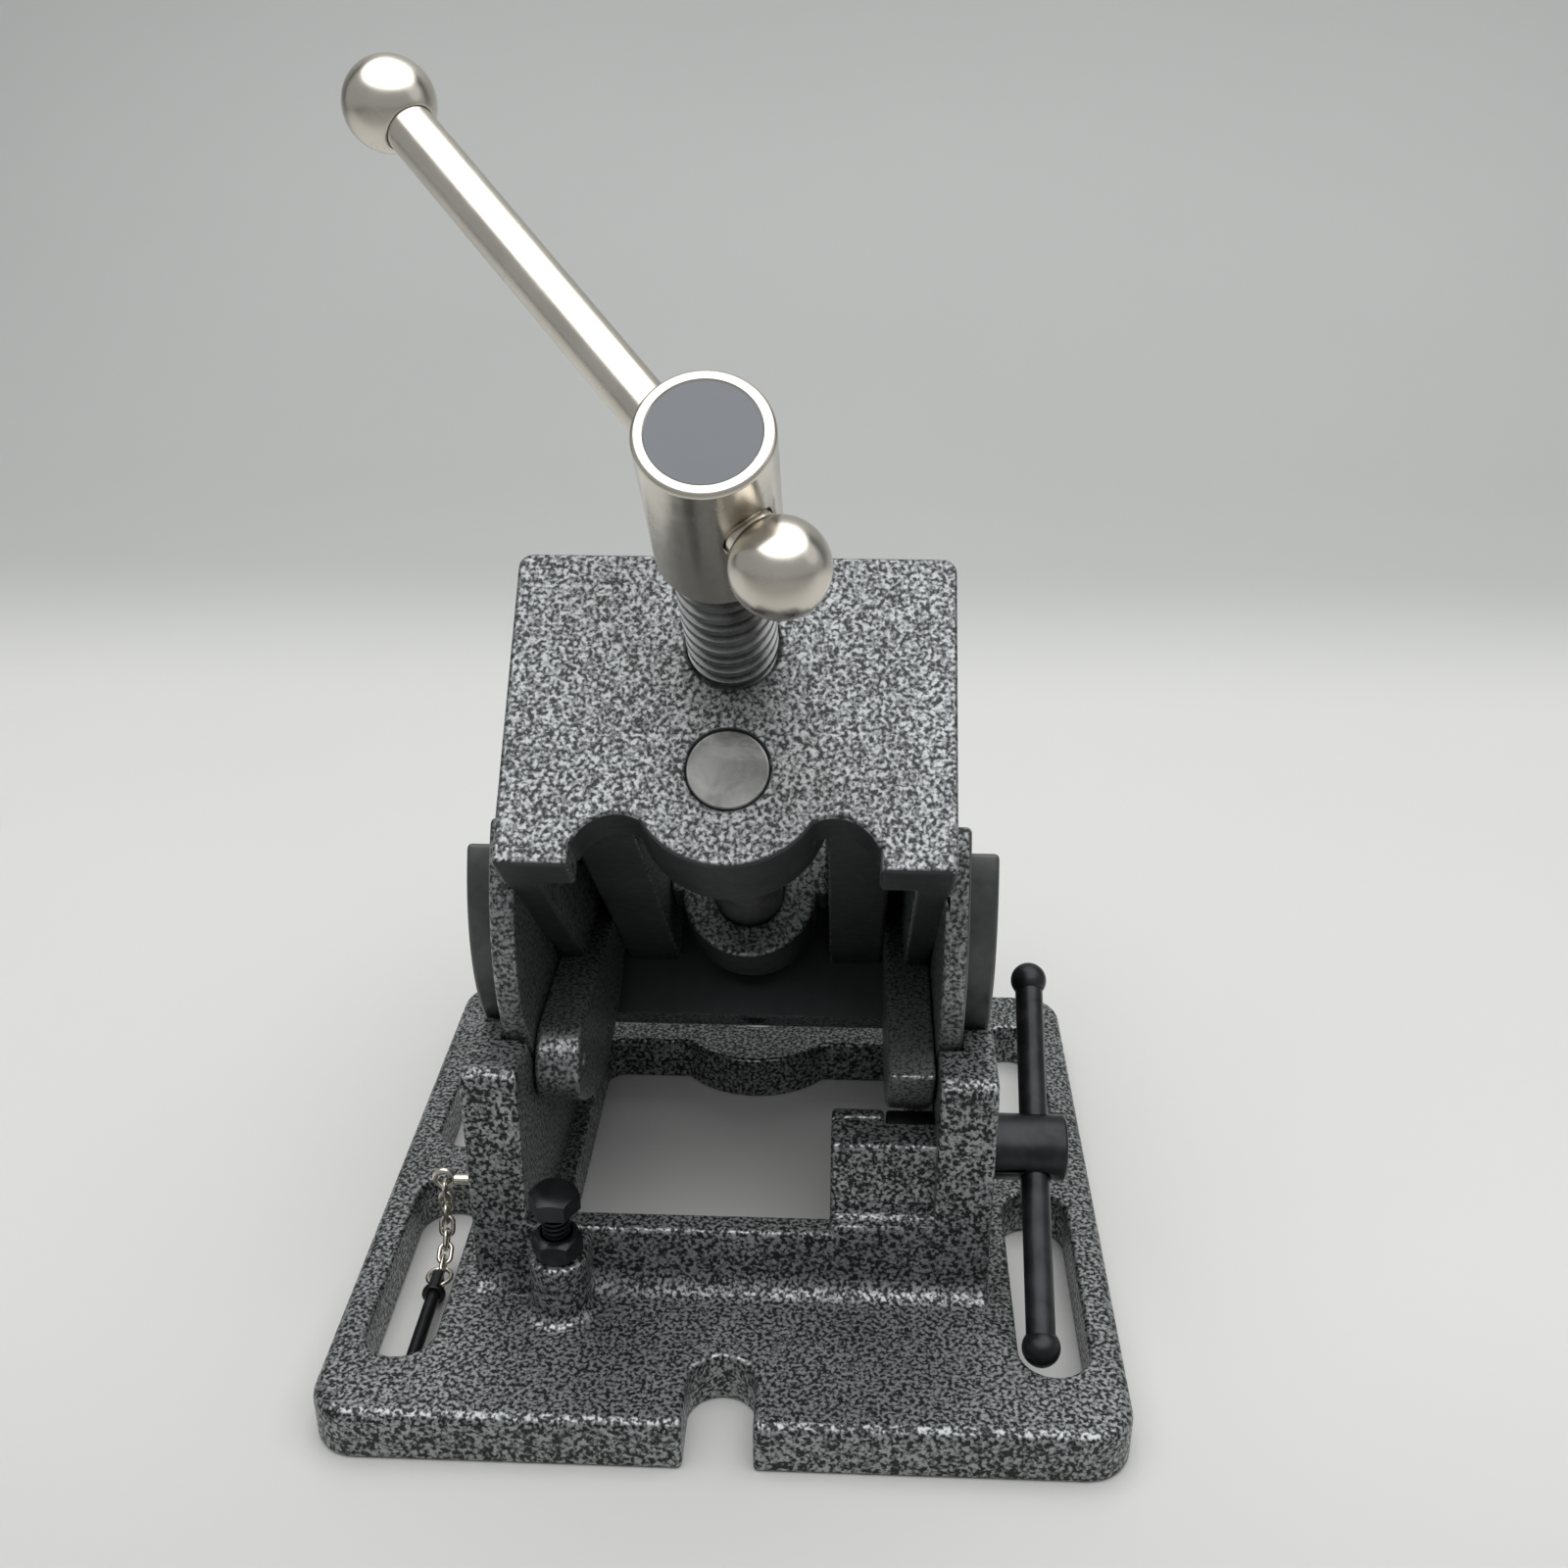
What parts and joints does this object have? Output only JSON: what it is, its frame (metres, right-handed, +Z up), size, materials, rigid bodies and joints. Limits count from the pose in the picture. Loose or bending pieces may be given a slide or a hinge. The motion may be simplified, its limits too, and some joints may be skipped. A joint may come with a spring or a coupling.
{
  "type": "tilting drill press vise",
  "caption": "Screw vise on half-round trunnions in a slotted cradle base, tilting from level to upright, with a T-bar lock, stop bolt, chained lock pin and sliding handle bar.",
  "frame": {"origin": "centre of the base plate's underside, on the table", "axes": "+X to the right seen from the handle's end, +Y away from the handle, +Z up"},
  "size_m": [0.14, 0.1532, 0.2172],
  "materials": {
    "hammertone_paint": "hammertone enamel over cast iron",
    "bare_steel": "turned and ground",
    "nickel_plate": "polished nickel plate",
    "black_oxide": "black oxide",
    "dark_thread": "oiled dark thread"
  },
  "bodies": {
    "base": {"base_casting": "hammertone_paint", "stop_lock_nut": "black_oxide", "chain_anchor": "nickel_plate", "chain": "nickel_plate", "pin_ring": "nickel_plate"},
    "stop": {"stop_bolt": "black_oxide"},
    "pin": {"lock_pin": "black_oxide"},
    "lock": {"lock_shaft": "black_oxide"},
    "lock_tee": {"lock_bar": "black_oxide", "lock_bar_knobs": "black_oxide"},
    "vise": {"vise_body": "hammertone_paint", "guide_rod": "bare_steel", "rod_set_screw": "black_oxide", "fixed_jaw_plate": "bare_steel", "fixed_jaw_screws": "black_oxide"},
    "jaw": {"moving_jaw": "hammertone_paint", "moving_jaw_plate": "bare_steel", "moving_jaw_screws": "black_oxide", "screw_retaining_pins": "bare_steel"},
    "screw": {"lead_screw": "dark_thread", "spindle_hub": "nickel_plate"},
    "handle": {"handle_bar": "nickel_plate", "handle_ball_upper": "nickel_plate", "handle_ball_lower": "nickel_plate"}
  },
  "joints": [
    {"name": "vise_tilt", "type": "hinge", "parent": "base", "child": "vise", "pos_m": [0, 0.012, 0.0745], "axis": [1, 0, 0], "range_deg": [-45, 45]},
    {"name": "jaw_slide", "type": "slide", "parent": "vise", "child": "jaw", "axis": [0, 0.7071, -0.7071], "range_m": [-0.0521, 0.0077]},
    {"name": "screw_turn", "type": "hinge", "parent": "jaw", "child": "screw", "pos_m": [0, 0.02798, 0.09048], "axis": [0, 0.7071, -0.7071], "range_deg": [-4680, 684]},
    {"name": "handle_slide", "type": "slide", "parent": "screw", "child": "handle", "axis": [0.6225, -0.5534, -0.5534], "range_m": [0, 0.068]},
    {"name": "lock_turn", "type": "hinge", "parent": "base", "child": "lock", "pos_m": [0, -0.021, 0.0332], "axis": [1, 0, 0], "range_deg": [-60, 0]},
    {"name": "lock_tee_slide", "type": "slide", "parent": "lock", "child": "lock_tee", "axis": [0, 0.7902, 0.6129], "range_m": [0, 0.027]},
    {"name": "stop_bolt_raise", "type": "slide", "parent": "base", "child": "stop", "axis": [0, 0, 1], "range_m": [-0.004, 0.01]},
    {"name": "lock_pin_lift", "type": "hinge", "parent": "base", "child": "pin", "pos_m": [-0.0564, -0.02932, 0.00359], "axis": [-1, 0, 0], "range_deg": [0, 20]}
  ],
  "couplings": [
    {"joint": "jaw_slide", "follows": "screw_turn", "m_per_rad": 0.00063662}
  ]
}
